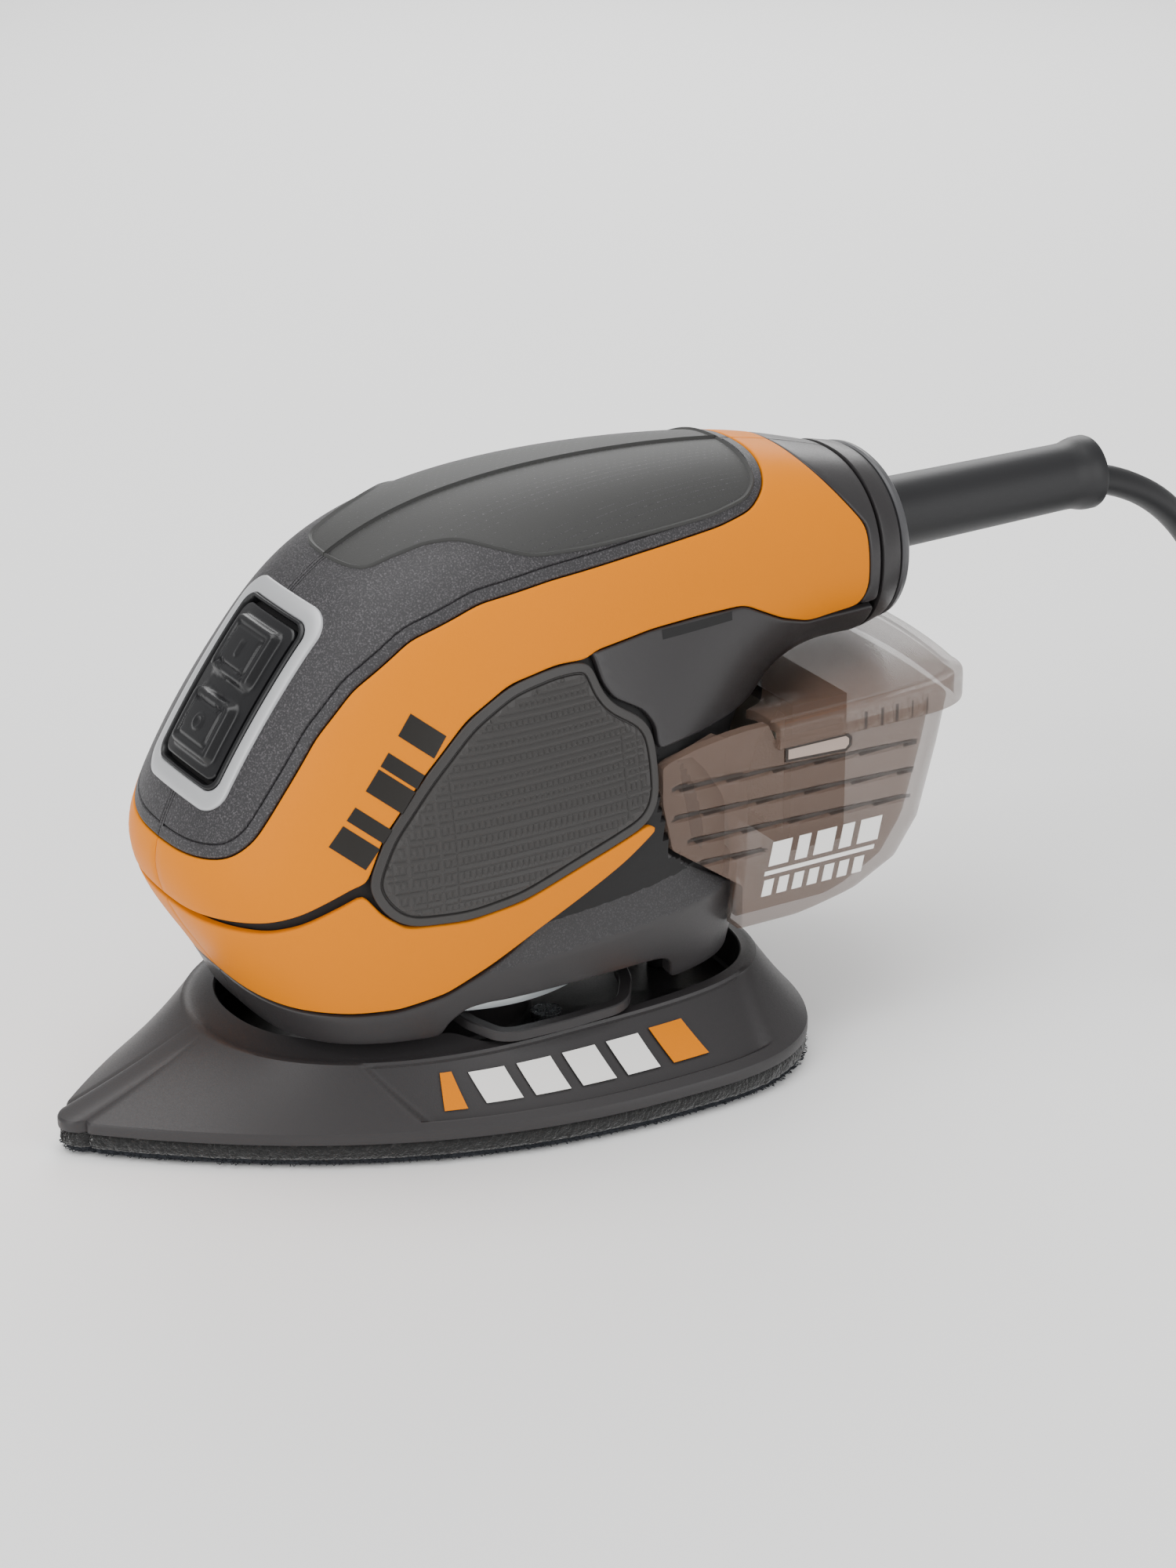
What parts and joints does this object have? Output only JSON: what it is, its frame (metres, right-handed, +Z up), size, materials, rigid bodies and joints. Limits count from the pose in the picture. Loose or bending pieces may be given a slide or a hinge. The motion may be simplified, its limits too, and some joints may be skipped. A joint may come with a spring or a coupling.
{
  "type": "detail mouse sander",
  "caption": "Corded palm detail sander with a pointed orbital pad, front rocker switch and a translucent slide-off dust box.",
  "frame": {"origin": "on the motor shaft's axis, on the hook face that the abrasive sheet grips", "axes": "+Z up along the motor shaft, -Y towards the pointed nose, +Y towards the cord, +X to the tool's own left"},
  "size_m": [0.1301, 0.3637, 0.1108],
  "materials": {
    "orange_plastic": "satin moulded, fine grain",
    "dark_grained": "spark-eroded grain",
    "soft_grip": "moulded thermoplastic elastomer",
    "dark_smooth": "smooth satin",
    "bezel_grey": "fine silver paint",
    "boot_rubber": "soft, slightly glossy",
    "platen_plastic": "satin charcoal",
    "foam": "open cell foam",
    "hook_loop": "hook fabric",
    "nylon_white": "natural nylon",
    "steel": "turned",
    "lamination": "stacked sheet steel",
    "copper": "enamelled copper",
    "carbon": "sintered carbon",
    "brass": "drawn",
    "aluminium": "die cast",
    "smoke_clear": "smoke tinted, translucent",
    "filter_media": "pleated paper fleece",
    "cable": "matt flexible jacket",
    "tie": "wrap",
    "pin_metal": "nickel plated",
    "film_cap": "potted"
  },
  "bodies": {
    "root": {"motor_stator": "lamination", "field_coils": "copper", "lower_bearing": "steel", "upper_bearing": "steel", "brush_holders": "brass", "brushes": "carbon", "brush_springs": "steel", "suppressor": "film_cap", "base_skirt": "dark_smooth", "left_housing": "orange_plastic", "right_housing": "orange_plastic", "left_top_cover": "dark_grained", "right_top_cover": "dark_grained", "left_palm_pad": "soft_grip", "right_palm_pad": "soft_grip", "left_side_grip": "soft_grip", "right_side_grip": "soft_grip", "left_lower_band": "orange_plastic", "right_lower_band": "orange_plastic", "left_tail_panel": "dark_smooth", "right_tail_panel": "dark_smooth", "left_rear_panel": "dark_smooth", "right_rear_panel": "dark_smooth", "housing_screws": "steel", "switch_bezel": "bezel_grey", "switch_boot_frame": "boot_rubber", "switch_body": "dark_smooth", "tail_cap": "dark_smooth", "tail_collar": "dark_smooth", "cord_sleeve": "cable", "inner_lead": "cable", "cord_clamp": "dark_smooth", "cord": "cable", "cord_tie": "tie", "cord_coil": "cable", "cord_end": "cable", "plug_body": "cable", "plug_pins": "pin_metal", "dust_spigot": "dark_smooth"},
    "rotor": {"armature_shaft": "steel", "armature_core": "lamination", "armature_winding": "copper", "commutator": "copper", "cooling_fan": "aluminium", "counterweight": "steel", "eccentric_hub": "steel"},
    "platen": {"platen_shell": "platen_plastic", "foam_pad": "foam", "hook_sheet": "hook_loop", "platen_bearing": "steel", "platen_screws": "steel", "platen_loop": "platen_plastic", "platen_posts": "nylon_white"},
    "switch": {"switch_rocker": "boot_rubber"},
    "dust_box": {"dust_box_tub": "smoke_clear", "filter_element": "filter_media", "filter_frame": "dark_smooth"},
    "dust_lid": {"dust_box_lid": "smoke_clear"}
  },
  "joints": [
    {"name": "motor_spin", "type": "hinge", "parent": "root", "child": "rotor", "pos_m": [0, 0, 0.06], "axis": [0, 0, 1], "continuous": true},
    {"name": "platen_orbit", "type": "hinge", "parent": "rotor", "child": "platen", "pos_m": [0.001, 0, 0.015], "axis": [0, 0, 1], "continuous": true, "deforming": ["platen_posts"]},
    {"name": "switch_rock", "type": "hinge", "parent": "root", "child": "switch", "pos_m": [0, -0.0387, 0.0785], "axis": [1, 0, 0], "range_deg": [0, 8]},
    {"name": "dust_box_slide", "type": "slide", "parent": "root", "child": "dust_box", "axis": [0, 1, 0], "range_m": [0, 0.035]},
    {"name": "dust_lid_slide", "type": "slide", "parent": "dust_box", "child": "dust_lid", "axis": [0, 1, 0], "range_m": [0, 0.03]}
  ],
  "couplings": [
    {"joint": "platen_orbit", "follows": "motor_spin", "ratio": -1}
  ]
}
